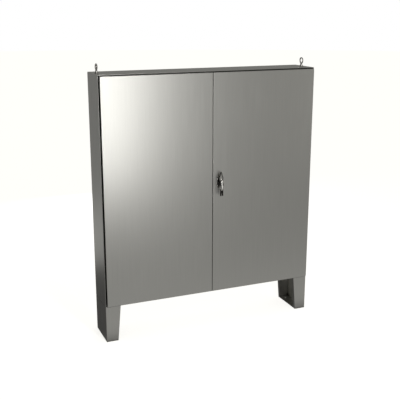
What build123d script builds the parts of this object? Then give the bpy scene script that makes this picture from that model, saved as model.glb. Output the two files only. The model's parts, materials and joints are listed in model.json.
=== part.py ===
from build123d import *
import math
import os

# Two-door floor-stand switchboard cabinet, in millimetres.
# X runs across the cabinet, Y runs from the doors (negative) to the back, Z is up.
# The origin is the centre of the four floor anchor holes, on the floor.

# overall sizes
cabinet_width = 1829.0
body_height = 1836.0
body_depth = 305.0
stand_height = 298.0

# body sheet
body_sheet = 2.5
corner_bend = 4.0
turned_flange = 16.0
hem_width = 4.5
hem_depth = 12.0
hem_nose = 2.0
hem_inner_corner = 2.5

# door opening collar
trough_depth = 17.5
collar_sheet = 2.5
collar_width = 36.0
collar_lip_rise = 11.5

# doors
door_sheet = 2.0
door_proud = 22.0
door_edge_inset = 10.7
door_flange_depth = 20.0
door_return = 15.0
door_bend = 2.5
door_corner = 3.0
seam_gap = 4.0
gasket_width = 12.0
gasket_clearance = 0.5
stiffener_web = 40.0
stiffener_foot = 20.0
stiffener_depth = 22.0
stiffener_end_gap = 60.0

# continuous hinges
hinge_barrel_radius = 2.9
hinge_pin_radius = 1.5
hinge_running_clearance = 0.05
hinge_leaf = 1.2
hinge_forward = 3.5
hinge_knuckle_pitch = 50.8
hinge_knuckle_gap = 0.5
hinge_notch_clearance = 0.5
hinge_end_gap = 14.0
hinge_body_leaf_width = 14.0
hinge_door_leaf_width = 16.0

# centre post
post_half_width = 27.3
post_sheet = 2.5
post_end_gap = 8.0
post_lip_clearance = 0.5
post_screw_offset = 14.0
post_screw_edge = 19.0
post_screw_radius = 3.0
post_screw_head_radius = 6.0
post_screw_head = 3.5
post_nut_height = 5.0
post_nut_across = 10.0
post_screw_showing = 2.0
post_screw_head_round = 1.5

# floor stands
stand_sheet = 2.7
stand_width_top = 123.5
stand_width_bottom = 97.0
stand_lip = 32.0
stand_bend = 4.0
anchor_inset = 50.0
anchor_edge = 47.5
anchor_hole_radius = 7.1
stand_bolt_radius = 5.0
stand_bolt_hole_clearance = 0.5
stand_bolt_head = 6.5
stand_bolt_across = 17.0
stand_bolt_near = 30.0
stand_bolt_far = 92.0
stand_bolt_edge = 42.5

# lifting eyes
eye_inset = 33.0
eye_wire_radius = 5.5
eye_ring_radius = 21.5
eye_centre_height = 46.0
eye_shoulder_radius = 14.0
eye_shoulder_height = 8.0
eye_neck_radius = 9.0
eye_shank_radius = 8.0
eye_shank_hole_clearance = 0.5
eye_shank_length = 30.0
eye_nut_across = 24.0
eye_nut_height = 13.0
eye_washer_radius = 15.0
eye_washer_height = 3.0

# mounting panel and its studs
panel_margin = 51.0
panel_sheet = 2.7
panel_edge = 19.0
panel_standoff = 38.0
panel_stud_inset = 38.0
panel_stud_radius = 4.75
panel_collar_radius = 9.0
panel_stud_clearance = 0.75
panel_stud_length = 14.0
panel_nut_across = 14.3
panel_nut_height = 8.0

# ground studs, one low on each side wall
ground_stud_radius = 3.0
ground_stud_length = 24.0
ground_stud_showing = 6.0
ground_stud_height = 90.0
ground_nut_across = 10.0
ground_nut_height = 5.0

# door handle
handle_x = 60.0
handle_z = 937.0
handle_hub_radius = 19.0
handle_reach_down = 96.0
handle_reach_up = 100.0
handle_lever_top = 30.0
handle_lever_end = 22.0
handle_lever_thickness = 13.0
handle_standoff = 51.0
handle_ear_root = 34.0
handle_ear_shoulder = 40.0
handle_ear_shoulder_up = 48.0
handle_ear_tip_radius = 7.0
handle_ear_thickness = 5.0
handle_ear_gap = 1.0
handle_fillet = 3.0
padlock_hole_radius = 5.25
padlock_hole_up = 82.0
escutcheon_width = 50.0
escutcheon_up = 45.0
escutcheon_down = 37.0
escutcheon_thickness = 6.0
escutcheon_running_gap = 0.5
escutcheon_screw_radius = 2.5
escutcheon_screw_head_radius = 4.5
escutcheon_screw_head = 2.6
escutcheon_screw_inset = 8.0
escutcheon_nut_across = 8.0
escutcheon_nut_height = 4.0
escutcheon_screw_showing = 3.0
staple_width = 26.0
staple_sheet = 2.5
staple_foot = 20.0
staple_base_up = 52.0

# spindle, cam and latch rods
spindle_radius = 7.0
spindle_running_clearance = 0.06
spindle_screw_radius = 4.0
spindle_screw_across = 13.0
spindle_screw_head = 5.0
spindle_screw_length = 16.0
spindle_washer_land = 1.5
spindle_washer = 0.8
spindle_hub_depth = 20.0
bushing_wall = 2.0
bushing_flange_radius = 14.0
bushing_flange = 3.5
bushing_length = 20.5
bracket_sheet = 3.0
bracket_half_height = 44.0
bracket_width = 46.0
bracket_foot = 18.0
cam_thickness = 6.0
cam_gap = 0.5
cam_eye_gap = 1.0
cam_pin_circle = 18.0
cam_boss_radius = 13.0
cam_lobe_radius = 8.5
cam_pin_radius = 4.0
rod_radius = 5.0
rod_eye_radius = 9.0
rod_eye_half = 6.0
rod_eye_clearance = 0.06
rod_tip_margin = 1.5
rod_end_clearance = 2.0
pin_washer_radius = 6.5
pin_washer = 1.5
pin_play = 0.3
roller_radius = 8.0
roller_width = 9.0
roller_axle_radius = 3.0
roller_clearance = 0.05
roller_side_gap = 0.4
roller_cap_radius = 5.0
roller_cap = 1.5
guide_sheet = 3.0
guide_slot_clearance = 0.6
guide_margin = 3.0
guide_foot = 25.0
guide_near = 300.0
guide_far = 745.0
keeper_thickness = 2.0
keeper_clearance = 0.5
keeper_height = 24.0
keeper_width = 34.0

# slide bolts that hold the left door
slide_bolt_x = -70.0
slide_bolt_radius = 4.0
slide_bolt_clearance = 0.06
slide_bolt_length = 92.0
slide_bolt_hole_clearance = 1.0
slide_bolt_trough_gap = 12.0
slide_lug = 8.0
slide_lug_gap = 44.0
slide_lug_start = 60.0
slide_base = 3.0
slide_lug_width = 24.0
slide_knob_radius = 3.5
slide_knob_reach = 20.0
slide_knob_length = 6.0
slide_knob_down = 30.0

# document pocket on the left door
pocket_width = 305.0
pocket_height = 305.0
pocket_depth = 32.0
pocket_sheet = 1.6
pocket_side_gap = 64.0
pocket_centre_height = 900.0

# places worked out from the sizes
side = cabinet_width / 2
front = -body_depth / 2
back = body_depth / 2
base = stand_height
top = stand_height + body_height
trough_floor = front + trough_depth
collar_back = trough_floor + collar_sheet
lip_front = front - collar_lip_rise
door_front = front - door_proud
door_inner = door_front + door_sheet
door_rear = door_front + door_flange_depth
door_side = side - door_edge_inset
door_top = top - door_edge_inset
door_base = base + door_edge_inset
gasket_rear = lip_front - gasket_clearance
pivot_x = side - hem_width - hinge_barrel_radius
pivot_y = front - hinge_forward
latch_z = base + handle_z
rod_y = collar_back + keeper_thickness + keeper_clearance + roller_radius
pin_offset = cam_pin_circle / math.sqrt(2)
cam_back = rod_y - rod_eye_half - cam_eye_gap
cam_front = cam_back - cam_thickness
bracket_back = cam_front - cam_gap
ear_back = door_front - handle_standoff + 24.0
panel_back = back - body_sheet - panel_standoff
panel_half_width = side - panel_margin
panel_half_height = body_height / 2 - panel_margin
body_centre_z = base + body_height / 2
slide_bolt_y = trough_floor - slide_bolt_trough_gap

os.makedirs("parts", exist_ok=True)


def block(x_span, y_span, z_span):
    """Box between two corners, each span given in either order."""
    low = [min(span) for span in (x_span, y_span, z_span)]
    size = [abs(span[1] - span[0]) for span in (x_span, y_span, z_span)]
    return Pos(*low) * Box(*size, align=(Align.MIN, Align.MIN, Align.MIN))


def upright_round(radius, span):
    """Cylinder as long as the span, standing on the XY plane."""
    return Cylinder(radius, abs(span[1] - span[0]), align=(Align.CENTER, Align.CENTER, Align.MIN))


def round_x(radius, x_span, y, z):
    """Cylinder along X."""
    return Pos(min(x_span), y, z) * Rot(0, 90, 0) * upright_round(radius, x_span)


def round_y(radius, x, y_span, z):
    """Cylinder along Y."""
    return Pos(x, min(y_span), z) * Rot(-90, 0, 0) * upright_round(radius, y_span)


def round_z(radius, x, y, z_span):
    """Cylinder along Z."""
    return Pos(x, y, min(z_span)) * upright_round(radius, z_span)


def hexagon(across_flats, height):
    """Hexagonal prism standing on the XY plane."""
    return extrude(RegularPolygon(across_flats / 2, 6, major_radius=False), height)


def nut(across_flats, height, hole_radius):
    return hexagon(across_flats, height) - Cylinder(hole_radius, 3 * height)


def flat_outline(points, y, thickness):
    """Plate in the XZ plane from an outline of (x, z) points, grown towards the back."""
    face = make_face(Polyline([(x, z) for x, z in points], close=True).edges())
    plate = extrude(Plane.XZ.offset(-y) * face, -thickness)
    return plate


def save(name, shape):
    export_step(shape, f"parts/{name}.step")


def group(name, solids):
    """Several loose solids kept as one node."""
    save(name, Compound(children=[s for item in solids for s in item.solids()]))


def mirrored(shape):
    return mirror(shape, about=Plane.YZ)


# ---------------------------------------------------------------- body
def body_shell():
    """Welded box with bent corners, open at the front, with a hemmed front edge."""
    outer = block((-side, side), (front + hem_nose, back), (base, top))
    outer = fillet([e for e in outer.edges() if e.center().Y > front + hem_nose + 1], corner_bend)
    inside = side - body_sheet
    inner = block((-inside, inside), (front, back - body_sheet), (base + body_sheet, top - body_sheet))
    inner = fillet([e for e in inner.edges() if e.center().Y > front + 1], corner_bend - body_sheet)
    return outer - inner + hem_ring()


def hem_ring():
    """Folded front edge of the body, rounded along its nose."""
    plane = Plane.XZ.offset(-front).shift_origin((0, front, body_centre_z))
    outline = RectangleRounded(cabinet_width, body_height, corner_bend)
    hole = RectangleRounded(cabinet_width - 2 * hem_width, body_height - 2 * hem_width, hem_inner_corner)
    ring = extrude(plane * (outline - hole), -hem_depth)
    nose = ring.edges().filter_by_position(Axis.Y, front - 0.01, front + 0.01)
    return fillet(nose, hem_nose)


def body_panels():
    """Cut the shell into the five sheets that are welded together."""
    shell = body_shell()
    margin = 10.0
    y_all = (front - margin, back + margin)
    z_all = (base - margin, top + margin)
    side_cut = side - turned_flange
    left = shell & block((-side - margin, -side_cut), y_all, z_all)
    middle = shell & block((-side_cut, side_cut), y_all, z_all)
    roof = middle & block((-side, side), y_all, (top - turned_flange, top + margin))
    floor = middle & block((-side, side), y_all, (base - margin, base + turned_flange))
    rear = middle & block((-side, side), y_all, (base + turned_flange, top - turned_flange))
    return left, roof, floor, rear


def eye_places():
    return [(sign * (side - eye_inset), 0.0) for sign in (-1, 1)]


def stand_bolt_places():
    edge = back - stand_bolt_edge
    return [
        (sign * (side - inset), y)
        for sign in (-1, 1)
        for inset in (stand_bolt_near, stand_bolt_far)
        for y in (-edge, edge)
    ]


def drill_z(shape, places, radius, z_span):
    for x, y in places:
        shape = shape - round_z(radius, x, y, z_span)
    return shape


# ---------------------------------------------------------------- door opening collar
def collar_ring():
    """Trough floor and forward lip that run around the door opening."""
    def frame(inset_out, inset_in, y_span):
        solid = block((-side + inset_out, side - inset_out), y_span, (base + inset_out, top - inset_out))
        hole = block((-side + inset_in, side - inset_in), y_span, (base + inset_in, top - inset_in))
        return solid - hole
    floor = frame(body_sheet, collar_width, (trough_floor, collar_back))
    corners = [e for e in floor.edges().filter_by(Axis.Y) if abs(e.center().X) > side - collar_width / 2]
    floor = fillet(corners, corner_bend - body_sheet)
    lip = frame(collar_width - collar_sheet, collar_width, (lip_front, collar_back))
    between_posts = post_half_width - post_sheet
    lip -= block((-between_posts, between_posts), (lip_front, trough_floor), (base, top))
    return floor + lip


def collar_rails():
    """Mitred lengths of the collar: left, top and bottom."""
    ring = collar_ring()
    reach = collar_width + 10.0
    left_cut = [(-side, base), (-side + reach, base + reach), (-side + reach, top - reach), (-side, top)]
    top_cut = [(-side, top), (-side + reach, top - reach), (side - reach, top - reach), (side, top)]
    base_cut = [(-side, base), (-side + reach, base + reach), (side - reach, base + reach), (side, base)]
    span = collar_back - lip_front + 10.0
    rails = [ring & flat_outline(cut, lip_front - 5.0, span) for cut in (left_cut, top_cut, base_cut)]
    hole = slide_bolt_radius + slide_bolt_hole_clearance
    drills = round_z(hole, slide_bolt_x, slide_bolt_y, (base, base + collar_width + 5))
    drills += round_z(hole, slide_bolt_x, slide_bolt_y, (top - collar_width - 5, top))
    left, upper, lower = rails
    screws = post_screw_places()
    for x, z in screws:
        drills += round_y(post_screw_radius, x, (trough_floor - 5, collar_back + 5), z)
    return left, upper - drills, lower - drills


def post_screw_places():
    return [
        (x, z)
        for x in (-post_screw_offset, post_screw_offset)
        for z in (base + post_screw_edge, top - post_screw_edge)
    ]


def centre_post():
    """Removable channel behind the seam, one lip for each door gasket."""
    web_back = collar_back + post_sheet
    web_z = (base + post_end_gap, top - post_end_gap)
    web = block((-post_half_width, post_half_width), (collar_back, web_back), web_z)
    leg_z = (base + collar_width + post_lip_clearance, top - collar_width - post_lip_clearance)
    for sign in (-1, 1):
        outer = sign * post_half_width
        web += block((outer, outer - sign * post_sheet), (lip_front, web_back), leg_z)
    for x, z in post_screw_places():
        web -= round_y(post_screw_radius, x, (collar_back - 5, web_back + 5), z)
    return web


def post_screws():
    solids = []
    for x, z in post_screw_places():
        shank_end = collar_back + post_sheet + post_nut_height + post_screw_showing
        screw = round_y(post_screw_radius, x, (trough_floor, shank_end), z)
        head = round_y(post_screw_head_radius, x, (trough_floor - post_screw_head, trough_floor), z)
        crown = trough_floor - post_screw_head
        head = fillet(head.edges().filter_by_position(Axis.Y, crown - 0.1, crown + 0.1), post_screw_head_round)
        back_nut = Pos(x, collar_back + post_sheet, z) * Rot(-90, 0, 0)
        back_nut = back_nut * hexagon(post_nut_across, post_nut_height)
        solids.append(screw + head + back_nut)
    return solids


# ---------------------------------------------------------------- doors
def door_pan(x_near, x_far):
    """Door skin with its flanges turned back and then inward."""
    skin = block((x_near, x_far), (door_front, door_rear), (door_base, door_top))
    skin = fillet(skin.edges().filter_by(Axis.Y), door_corner)
    skin = fillet(skin.edges().filter_by_position(Axis.Y, door_front - 0.01, door_front + 0.01), door_bend)
    low, high = sorted((x_near, x_far))
    wall = door_sheet
    hollow_z = (door_base + wall, door_top - wall)
    hollow = block((low + wall, high - wall), (door_inner, door_rear - wall), hollow_z)
    lip = door_return
    mouth = block((low + lip, high - lip), (door_inner, door_rear + 1), (door_base + lip, door_top - lip))
    return skin - hollow - mouth


def door_gasket(x_near, x_far):
    """Seal around the door that meets the collar lip and the centre post lip."""
    low, high = sorted((x_near, x_far))
    y_span = (door_inner, gasket_rear)
    near = collar_width - gasket_width / 2 - collar_sheet / 2 - door_edge_inset
    seam_near = post_half_width - post_sheet / 2 - gasket_width / 2 - seam_gap / 2
    inset_low = near if low < -seam_gap else seam_near
    inset_high = near if high > seam_gap else seam_near
    z_low, z_high = door_base + near, door_top - near
    solid = block((low + inset_low, high - inset_high), y_span, (z_low, z_high))
    w = gasket_width
    hole = block((low + inset_low + w, high - inset_high - w), y_span, (z_low + w, z_high - w))
    return solid - hole


def door_stiffener(x_centre):
    """Upright hat channel spot welded to the middle of the door."""
    z_span = (base + stiffener_end_gap, top - stiffener_end_gap)
    half = stiffener_web / 2
    sheet = door_sheet
    crown = door_inner + stiffener_depth
    hat = block((x_centre - half, x_centre + half), (crown - sheet, crown), z_span)
    for sign in (-1, 1):
        edge = x_centre + sign * half
        hat += block((edge, edge - sign * sheet), (door_inner, crown), z_span)
        hat += block((edge, edge + sign * stiffener_foot), (door_inner, door_inner + sheet), z_span)
    return hat


# ---------------------------------------------------------------- continuous hinge (left side)
def hinge_spans():
    """Heights of the knuckles, shared out evenly along the hinge."""
    low, high = door_base + hinge_end_gap, door_top - hinge_end_gap
    count = 2 * round((high - low) / hinge_knuckle_pitch / 2) + 1
    pitch = (high - low) / count
    return [(low + i * pitch, low + (i + 1) * pitch) for i in range(count)]


def hinge_leaf_part(knuckle_spans, x_span, tab_span, leaf_span, bore):
    """One leaf with its knuckles along the pivot line."""
    spans = hinge_spans()
    low, high = spans[0][0], spans[-1][1]
    leaf = block(x_span, leaf_span, (low, high))
    gap = hinge_knuckle_gap / 2
    for z_low, z_high in knuckle_spans:
        z_span = (z_low + gap, z_high - gap)
        knuckle = round_z(hinge_barrel_radius, -pivot_x, pivot_y, z_span)
        tab = block(x_span, tab_span, z_span)
        leaf += knuckle + tab - round_z(bore, -pivot_x, pivot_y, z_span)
    return leaf


def hinge_body_leaf():
    near = -side + hem_width
    clear = hinge_barrel_radius + hinge_notch_clearance
    return hinge_leaf_part(
        hinge_spans()[0::2],
        (near, near + hinge_leaf),
        (pivot_y, pivot_y + clear),
        (pivot_y + clear, pivot_y + clear + hinge_body_leaf_width - clear),
        hinge_pin_radius,
    )


def hinge_door_leaf():
    near = -door_side
    clear = hinge_barrel_radius + hinge_notch_clearance
    return hinge_leaf_part(
        hinge_spans()[1::2],
        (near, near - hinge_leaf),
        (pivot_y, pivot_y - clear),
        (pivot_y - clear, pivot_y - hinge_door_leaf_width),
        hinge_pin_radius + hinge_running_clearance,
    )


def hinge_pin():
    spans = hinge_spans()
    return round_z(hinge_pin_radius, -pivot_x, pivot_y, (spans[0][0], spans[-1][1]))


# ---------------------------------------------------------------- floor stand (left side)
def floor_stand():
    """Folded stand: outer side, front and back flanges that taper, lips, top and foot."""
    t = stand_sheet
    outline = [(0, 0), (stand_width_bottom, 0), (stand_width_top, stand_height), (0, stand_height)]
    solid = flat_outline([(-side + x, z) for x, z in outline], front, body_depth)
    uprights = [
        e for e in solid.edges()
        if abs(e.center().X + side) < 0.1 and abs(abs(e.center().Y) - back) < 0.1
    ]
    solid = fillet(uprights, stand_bend)
    ceiling = stand_height - t
    hollow = [(t, t), (stand_width_bottom - t, t), (stand_width_top - t, ceiling), (t, ceiling)]
    solid -= flat_outline([(-side + x, z) for x, z in hollow], front + t, body_depth - 2 * t)
    mouth_y = back - stand_lip
    solid -= block((-side + t, -side + stand_width_top + 1), (-mouth_y, mouth_y), (t, ceiling))
    anchors = [(-side + anchor_inset, y) for y in (front + anchor_edge, back - anchor_edge)]
    solid = drill_z(solid, anchors, anchor_hole_radius, (-1, t + 1))
    bolts = [place for place in stand_bolt_places() if place[0] < 0]
    hole = stand_bolt_radius + stand_bolt_hole_clearance
    return drill_z(solid, bolts, hole, (stand_height - t - 1, stand_height + 1))


def stand_bolts():
    """Hexagon bolts and nuts that hold the stands under the body."""
    solids = []
    for x, y in stand_bolt_places():
        head_base = base + body_sheet
        nut_top = stand_height - stand_sheet
        shank = round_z(stand_bolt_radius, x, y, (nut_top - stand_bolt_head - 4.0, head_base))
        head = Pos(x, y, head_base) * hexagon(stand_bolt_across, stand_bolt_head)
        fixing = Pos(x, y, nut_top - stand_bolt_head) * hexagon(stand_bolt_across, stand_bolt_head)
        solids.append(shank + head + fixing)
    return solids


# ---------------------------------------------------------------- lifting eyes
def lifting_eye(x):
    ring_z = top + eye_centre_height
    ring = Pos(x, 0, ring_z) * Rot(0, 90, 0) * Torus(eye_ring_radius, eye_wire_radius)
    shoulder_top = top + eye_shoulder_height
    shoulder = round_z(eye_shoulder_radius, x, 0, (top, shoulder_top))
    shoulder = fillet(shoulder.edges().filter_by_position(Axis.Z, top + 1, shoulder_top + 1), 2.0)
    neck = round_z(eye_neck_radius, x, 0, (top, ring_z - eye_ring_radius))
    shank = round_z(eye_shank_radius, x, 0, (top - eye_shank_length, top))
    return ring + shoulder + neck + shank


def lifting_eye_nuts():
    solids = []
    for x, y in eye_places():
        under = top - body_sheet - eye_washer_height
        washer = round_z(eye_washer_radius, x, y, (under, under + eye_washer_height))
        piece = Pos(x, y, under - eye_nut_height) * hexagon(eye_nut_across, eye_nut_height) + washer
        solids.append(piece - round_z(eye_shank_radius, x, y, (under - eye_nut_height, top)))
    return solids


# ---------------------------------------------------------------- mounting panel
def panel_stud_places():
    x = panel_half_width - panel_stud_inset
    z = panel_half_height - panel_stud_inset
    return [(sx * x, body_centre_z + row * z) for sx in (-1, 1) for row in (-1, 0, 1)]


def mounting_panel():
    """Flat sheet with its edges turned back."""
    y_face = panel_back - panel_sheet
    x, z = panel_half_width, panel_half_height
    pan = block((-x, x), (y_face, panel_back + panel_edge), (body_centre_z - z, body_centre_z + z))
    pan = fillet(pan.edges().filter_by_position(Axis.Y, y_face - 0.01, y_face + 0.01), panel_sheet)
    t = panel_sheet
    pan -= block((-x + t, x - t), (panel_back, back), (body_centre_z - z + t, body_centre_z + z - t))
    for px, pz in panel_stud_places():
        hole = panel_stud_radius + panel_stud_clearance
        pan -= round_y(hole, px, (y_face - 1, panel_back + 1), pz)
    return pan


def panel_studs():
    solids = []
    for x, z in panel_stud_places():
        collar = round_y(panel_collar_radius, x, (panel_back, back - body_sheet), z)
        stud = round_y(panel_stud_radius, x, (panel_back - panel_stud_length, panel_back), z)
        solids.append(collar + stud)
    return solids


def panel_nuts():
    solids = []
    for x, z in panel_stud_places():
        seat = panel_back - panel_sheet
        piece = Pos(x, seat - panel_nut_height, z) * Rot(-90, 0, 0)
        solids.append(piece * nut(panel_nut_across, panel_nut_height, panel_stud_radius))
    return solids


def ground_studs():
    """Welded studs with a nut, one on each side wall."""
    solids = []
    z = base + ground_stud_height
    for sign in (-1, 1):
        wall = sign * (side - body_sheet)
        stud = round_x(ground_stud_radius, (wall, wall - sign * ground_stud_length), 0, z)
        nut_far = wall - sign * (ground_stud_length - ground_stud_showing)
        nut_x = min(nut_far, nut_far + sign * ground_nut_height)
        hex_nut = Pos(nut_x, 0, z) * Rot(0, 90, 0) * hexagon(ground_nut_across, ground_nut_height)
        solids.append(stud + hex_nut)
    return solids


# ---------------------------------------------------------------- handle on the right door
def door_handle():
    """Lever that hangs down, hub and pointed padlock ear above it."""
    x, z = handle_x, latch_z
    lever_front = door_front - handle_standoff
    lever_back = lever_front + handle_lever_thickness
    top_half, end_half = handle_lever_top / 2, handle_lever_end / 2
    lever = [
        (x - top_half, z), (x - end_half, z - handle_reach_down),
        (x + end_half, z - handle_reach_down), (x + top_half, z),
    ]
    body = flat_outline(lever, lever_front, lever_back - lever_front)
    tip = [e for e in body.edges().filter_by(Axis.Y) if e.center().Z < z - handle_reach_down + 1]
    body = fillet(tip, end_half - 0.5)
    hub_back = door_front - escutcheon_thickness - escutcheon_running_gap
    body += round_y(handle_hub_radius, x, (lever_front, hub_back), z)
    ear_tip = z + handle_reach_up - handle_ear_tip_radius
    root, shoulder, tip_half = handle_ear_root / 2, handle_ear_shoulder / 2, handle_ear_tip_radius
    shoulder_z = z + handle_ear_shoulder_up
    outline = [
        (x - root, z), (x - shoulder, shoulder_z), (x - tip_half, ear_tip),
        (x + tip_half, ear_tip), (x + shoulder, shoulder_z), (x + root, z),
    ]
    ear = flat_outline(outline, ear_back - handle_ear_thickness, handle_ear_thickness)
    ear += round_y(handle_ear_tip_radius, x, (ear_back - handle_ear_thickness, ear_back), ear_tip)
    body += ear
    body -= round_y(padlock_hole_radius, x, (lever_front, ear_back + 1), z + padlock_hole_up)
    body -= round_y(spindle_radius, x, (hub_back - spindle_hub_depth, hub_back + 1), z)
    rim = body.edges().filter_by_position(Axis.Y, lever_front - 0.01, lever_front + 0.01)
    return fillet(rim, handle_fillet)


def escutcheon_screw_places():
    x = escutcheon_width / 2 - escutcheon_screw_inset
    return [
        (handle_x + sx * x, latch_z + z)
        for sx in (-1, 1)
        for z in (escutcheon_up - escutcheon_screw_inset, -escutcheon_down + escutcheon_screw_inset)
    ]


def handle_escutcheon():
    """Plate between the handle hub and the door."""
    half = escutcheon_width / 2
    z_span = (latch_z - escutcheon_down, latch_z + escutcheon_up)
    plate_front = door_front - escutcheon_thickness
    plate = block((handle_x - half, handle_x + half), (plate_front, door_front), z_span)
    plate = fillet(plate.edges().filter_by(Axis.Y), 10.0)
    plate = fillet(plate.edges().filter_by_position(Axis.Y, plate_front - 0.01, plate_front + 0.01), 2.0)
    plate -= round_y(spindle_radius + bushing_wall, handle_x, (plate_front - 1, door_front + 1), latch_z)
    for x, z in escutcheon_screw_places():
        plate -= round_y(escutcheon_screw_radius, x, (plate_front - 1, door_front + 1), z)
    return plate


def handle_screws():
    """Pan head screws through the escutcheon and the door skin."""
    plate_front = door_front - escutcheon_thickness
    head_front = plate_front - escutcheon_screw_head
    solids = []
    for x, z in escutcheon_screw_places():
        head = round_y(escutcheon_screw_head_radius, x, (head_front, plate_front), z)
        head = fillet(head.edges().filter_by_position(Axis.Y, head_front - 0.01, head_front + 0.01), 1.2)
        nut_back = door_inner + escutcheon_nut_height
        shank = round_y(escutcheon_screw_radius, x, (plate_front, nut_back + escutcheon_screw_showing), z)
        rear = Pos(x, door_inner, z) * Rot(-90, 0, 0) * hexagon(escutcheon_nut_across, escutcheon_nut_height)
        solids.append(head + shank + rear)
    return solids


def padlock_staple():
    """Bent tab behind the ear, with the same hole, standing off the door for the shackle."""
    x, t = handle_x, staple_sheet
    half = staple_width / 2
    tab_front = ear_back + handle_ear_gap
    z_low = latch_z + staple_base_up
    z_high = latch_z + padlock_hole_up + staple_width / 2
    tab = block((x - half, x + half), (tab_front, tab_front + t), (z_low, z_high))
    tab = fillet([e for e in tab.edges().filter_by(Axis.Y) if e.center().Z > z_high - 1], half - 1.0)
    leg = block((x - half, x + half), (tab_front, door_front), (z_low, z_low + t))
    foot = block((x - half, x + half), (door_front - t, door_front), (z_low, z_low + staple_foot))
    staple = tab + leg + foot
    staple -= round_y(padlock_hole_radius, x, (tab_front - 1, tab_front + t + 1), latch_z + padlock_hole_up)
    return staple


def spindle():
    """Round shaft turned by the handle, drilled for the cam screw."""
    hub_back = door_front - escutcheon_thickness - escutcheon_running_gap
    shaft = round_y(spindle_radius, handle_x, (hub_back - spindle_hub_depth, cam_back), latch_z)
    thread = (cam_back - spindle_screw_length, cam_back + 1)
    return shaft - round_y(spindle_screw_radius, handle_x, thread, latch_z)


def spindle_screw():
    """Hexagon screw with a washer wider than the spindle, so that it holds the cam on."""
    seat = cam_back + spindle_washer
    head = Pos(handle_x, seat, latch_z) * Rot(-90, 0, 0) * hexagon(spindle_screw_across, spindle_screw_head)
    washer = round_y(spindle_radius + spindle_washer_land, handle_x, (cam_back, seat), latch_z)
    shank = round_y(spindle_screw_radius, handle_x, (cam_back - spindle_screw_length, seat), latch_z)
    return head + washer + shank


def spindle_bushing():
    """Bronze bush through the escutcheon and door skin, with a flange inside."""
    start = door_front - escutcheon_thickness
    bush = round_y(spindle_radius + bushing_wall, handle_x, (start, start + bushing_length), latch_z)
    bush += round_y(bushing_flange_radius, handle_x, (door_inner, door_inner + bushing_flange), latch_z)
    bore = spindle_radius + spindle_running_clearance
    return bush - round_y(bore, handle_x, (start - 1, start + bushing_length + 1), latch_z)


def latch_bracket():
    """Hat bracket inside the door that carries the inner end of the spindle."""
    x, z, t = handle_x, latch_z, bracket_sheet
    half, rise = bracket_width / 2, bracket_half_height
    plate = block((x - half, x + half), (bracket_back - t, bracket_back), (z - rise, z + rise))
    for sign in (-1, 1):
        edge = z + sign * rise
        plate += block((x - half, x + half), (door_inner, bracket_back), (edge, edge - sign * t))
        plate += block((x - half, x + half), (door_inner, door_inner + t), (edge, edge + sign * bracket_foot))
    bore = spindle_radius + spindle_running_clearance
    return plate - round_y(bore, x, (bracket_back - t - 1, bracket_back + 1), z)


def latch_cam():
    """Plate with two lobes, one for each latch rod pin."""
    lobes = [(-pin_offset, pin_offset), (pin_offset, -pin_offset)]
    cam = round_y(cam_boss_radius, handle_x, (cam_front, cam_back), latch_z)
    half = cam_lobe_radius / math.sqrt(2)
    corners = [
        (half - pin_offset, half + pin_offset), (-half - pin_offset, pin_offset - half),
        (pin_offset - half, -half - pin_offset), (pin_offset + half, half - pin_offset),
    ]
    outline = [(handle_x + dx, latch_z + dz) for dx, dz in corners]
    cam += flat_outline(outline, cam_front, cam_thickness)
    for dx, dz in lobes:
        cam += round_y(cam_lobe_radius, handle_x + dx, (cam_front, cam_back), latch_z + dz)
        cam -= round_y(cam_pin_radius, handle_x + dx, (cam_front - 1, cam_back + 1), latch_z + dz)
    return cam - round_y(spindle_radius, handle_x, (cam_front - 1, cam_back + 1), latch_z)


def cam_pins():
    """Headed pins that carry the rod eyes, each with a washer riveted on its end."""
    solids = []
    eye_back = rod_y + rod_eye_half
    for dx, dz in ((-pin_offset, pin_offset), (pin_offset, -pin_offset)):
        x, z = handle_x + dx, latch_z + dz
        end = eye_back + pin_play
        pin = round_y(cam_pin_radius, x, (cam_front, end), z)
        solids.append(pin + round_y(pin_washer_radius, x, (end, end + pin_washer), z))
    return solids


def latch_rod(upward):
    """Round rod with an eye on the cam pin and an axle for the roller at its far end."""
    sign = 1 if upward else -1
    x, z = handle_x - sign * pin_offset, latch_z + sign * pin_offset
    limit = top - collar_width if upward else base + collar_width
    axle_z = limit - sign * (rod_end_clearance + roller_radius)
    rod_tip = axle_z + sign * (roller_axle_radius + rod_tip_margin)
    rod = round_z(rod_radius, x, rod_y, (z + sign * (cam_pin_radius + 1.0), rod_tip))
    rod += round_y(rod_eye_radius, x, (rod_y - rod_eye_half, rod_y + rod_eye_half), z)
    pin_span = (rod_y - rod_eye_half - 1, rod_y + rod_eye_half + 1)
    rod -= round_y(cam_pin_radius + rod_eye_clearance, x, pin_span, z)
    axle_end = x + rod_radius + 2 * roller_side_gap + roller_width
    rod += round_x(roller_axle_radius, (x, axle_end), rod_y, axle_z)
    rod += round_x(roller_cap_radius, (axle_end, axle_end + roller_cap), rod_y, axle_z)
    start = x + rod_radius + roller_side_gap
    roller = round_x(roller_radius, (start, start + roller_width), rod_y, axle_z)
    roller = fillet(roller.edges().filter_by(GeomType.CIRCLE), 1.0)
    bore = roller_axle_radius + roller_clearance
    roller -= round_x(bore, (start - 1, start + roller_width + 1), rod_y, axle_z)
    return rod, roller


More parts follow.
